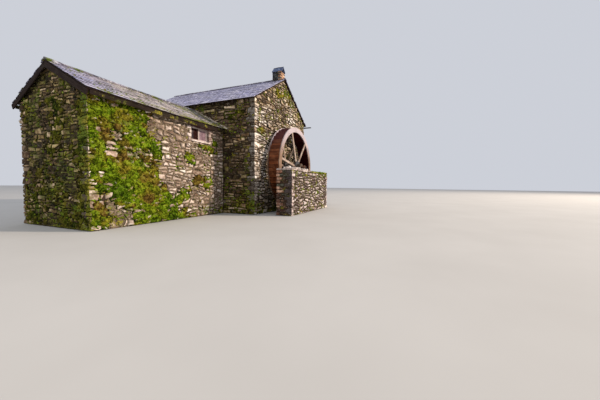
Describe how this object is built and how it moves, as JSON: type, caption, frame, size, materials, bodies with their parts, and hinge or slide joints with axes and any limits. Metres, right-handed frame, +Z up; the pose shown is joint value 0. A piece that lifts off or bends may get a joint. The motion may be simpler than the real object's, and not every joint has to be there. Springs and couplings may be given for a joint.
{
  "type": "watermill",
  "caption": "Stone watermill: gabled mill with a timber waterwheel between its gable and a pit wall, a lower slated range at its side, a small chimney and a two-light window.",
  "frame": {"origin": "on the ground under the middle of the wheel gable, at half its thickness, straight below the wheel shaft", "axes": "+Z up, -Y out of the wheel gable towards the wheel, -X along the lower range"},
  "size_m": [12.2213, 9.86, 7.9457],
  "materials": {
    "sunlit_rubble": "rough rubble in lime mortar, ochre and cream with olive moss",
    "mossy_rubble": "rough dark rubble with moss",
    "range_rubble": "rough cream and pink rubble with moss low down",
    "pit_rubble": "small pinkish rubble",
    "coping_stone": "rough slabs under moss",
    "chimney_stone": "rough dark rubble",
    "sill_stone": "pale rough slab",
    "roof_slate": "riven slate, blue-grey with lichen",
    "ridge_stone": "rough grey stone",
    "lime_mortar": "rough lime mortar with moss",
    "old_timber": "rough, dark",
    "mossy_board": "weathered board, green with algae",
    "dark_board": "tarred board, weathered",
    "painted_frame": "worn pale paint",
    "lintel_timber": "rough red-brown beam",
    "door_timber": "weathered planks",
    "shaft_timber": "weathered oak",
    "pale_timber": "silvery pink weathered oak",
    "wet_timber": "damp red-brown boards",
    "wheel_iron": "rusted",
    "gutter_iron": "black paint, worn",
    "window_glass": "dusty glass"
  },
  "bodies": {
    "building": {"mill_front_gable": "sunlit_rubble", "mill_rear_gable": "sunlit_rubble", "mill_left_wall": "mossy_rubble", "mill_right_wall": "mossy_rubble", "mill_roof_left": "roof_slate", "mill_roof_right": "roof_slate", "mill_ridge_stones": "ridge_stone", "mill_purlins": "old_timber", "mill_rafters": "old_timber", "mill_gutter": "gutter_iron", "gutter_brackets": "gutter_iron", "chimney_stack": "chimney_stone", "chimney_slates": "roof_slate", "range_front_wall": "range_rubble", "range_rear_wall": "range_rubble", "range_gable": "mossy_rubble", "range_roof_front": "roof_slate", "range_roof_rear": "roof_slate", "range_ridge_stones": "ridge_stone", "range_purlins": "old_timber", "range_rafters": "old_timber", "range_eave_boards": "mossy_board", "range_bargeboards": "dark_board", "mortar_fillet": "lime_mortar", "rafter_feet": "old_timber", "window_frames": "painted_frame", "window_panes": "window_glass", "window_sills": "sill_stone", "timber_lintels": "lintel_timber", "door_frame": "dark_board", "plank_door": "door_timber", "pit_wall": "pit_rubble", "pit_coping": "coping_stone", "bearing_stones": "coping_stone", "outer_bearing": "wheel_iron", "inner_bearing": "wheel_iron"},
    "waterwheel": {"wheel_shaft": "shaft_timber", "gudgeons": "wheel_iron", "shaft_hoops": "wheel_iron", "hubs": "wheel_iron", "arms_front": "pale_timber", "arms_rear": "pale_timber", "rim_front": "pale_timber", "rim_rear": "pale_timber", "sole_boards": "wet_timber", "buckets": "wet_timber"}
  },
  "joints": [
    {"name": "wheel_turn", "type": "hinge", "parent": "building", "child": "waterwheel", "pos_m": [0, -0.77, 2.38], "axis": [0, -1, 0], "continuous": true}
  ]
}
